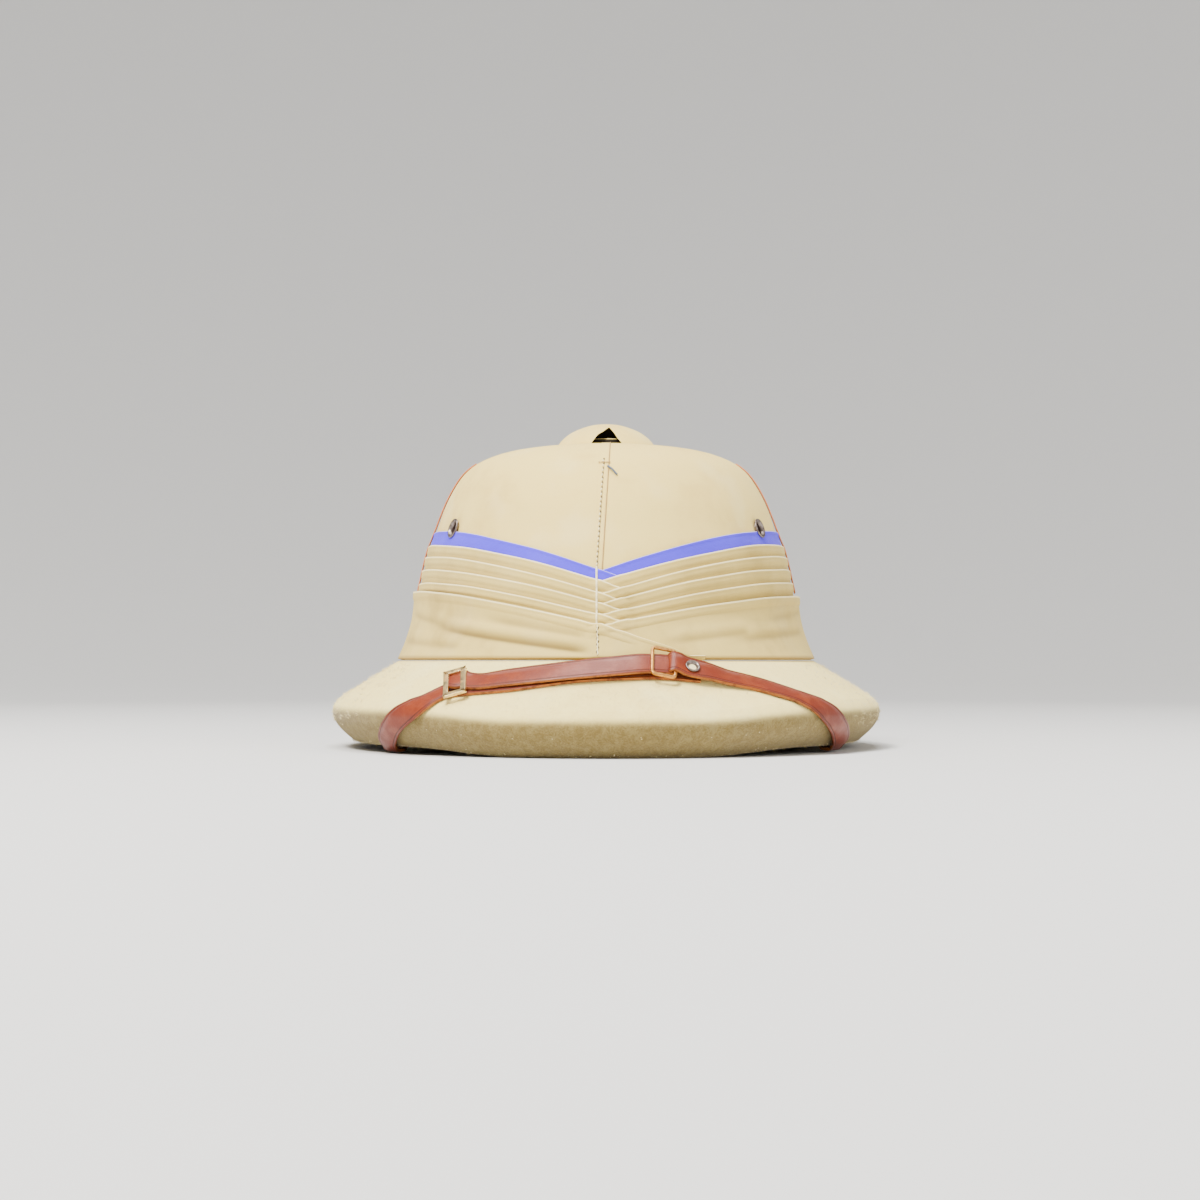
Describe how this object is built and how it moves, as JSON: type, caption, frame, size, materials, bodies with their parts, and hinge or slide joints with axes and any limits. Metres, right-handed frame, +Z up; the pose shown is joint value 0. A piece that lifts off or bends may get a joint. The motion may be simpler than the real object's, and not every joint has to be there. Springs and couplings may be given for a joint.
{
  "type": "pith helmet",
  "caption": "Cream cloth-covered pith helmet with a wide sloping brim, a khaki folded scarf with a violet-blue edge, a ventilator cap and a brown leather chin strap over the brim.",
  "frame": {"origin": "centre of the bounding box at the floor, where the rim rests", "axes": "front of the helmet towards -Y, +X to the viewer's right seen from the front, +Z up"},
  "size_m": [0.295, 0.3594, 0.1742],
  "materials": {
    "cream_cloth": "matte cotton cloth over pith",
    "khaki_cloth": "matte cotton scarf cloth",
    "blue_cloth": "matte cotton",
    "tan_cloth": "matte woven tape",
    "brown_leather": "polished leather",
    "brass": "worn brass",
    "grey_metal": "dull plated metal"
  },
  "bodies": {
    "root": {"crown": "cream_cloth", "brim": "cream_cloth", "ventilator_cap": "cream_cloth", "blue_band": "blue_cloth", "pleat_1": "khaki_cloth", "pleat_2": "khaki_cloth", "pleat_3": "khaki_cloth", "pleat_4": "khaki_cloth", "wide_wrap": "khaki_cloth", "side_strip_left": "tan_cloth", "side_strip_right": "tan_cloth", "vent_eyelet_left": "grey_metal", "vent_eyelet_right": "grey_metal", "strap_left": "brown_leather", "strap_upper": "brown_leather", "strap_right": "brown_leather", "slide_left": "brass", "slide_right": "brass", "strap_eyelet": "brass", "strap_stud_left": "grey_metal", "strap_stud_right": "grey_metal"}
  },
  "joints": []
}
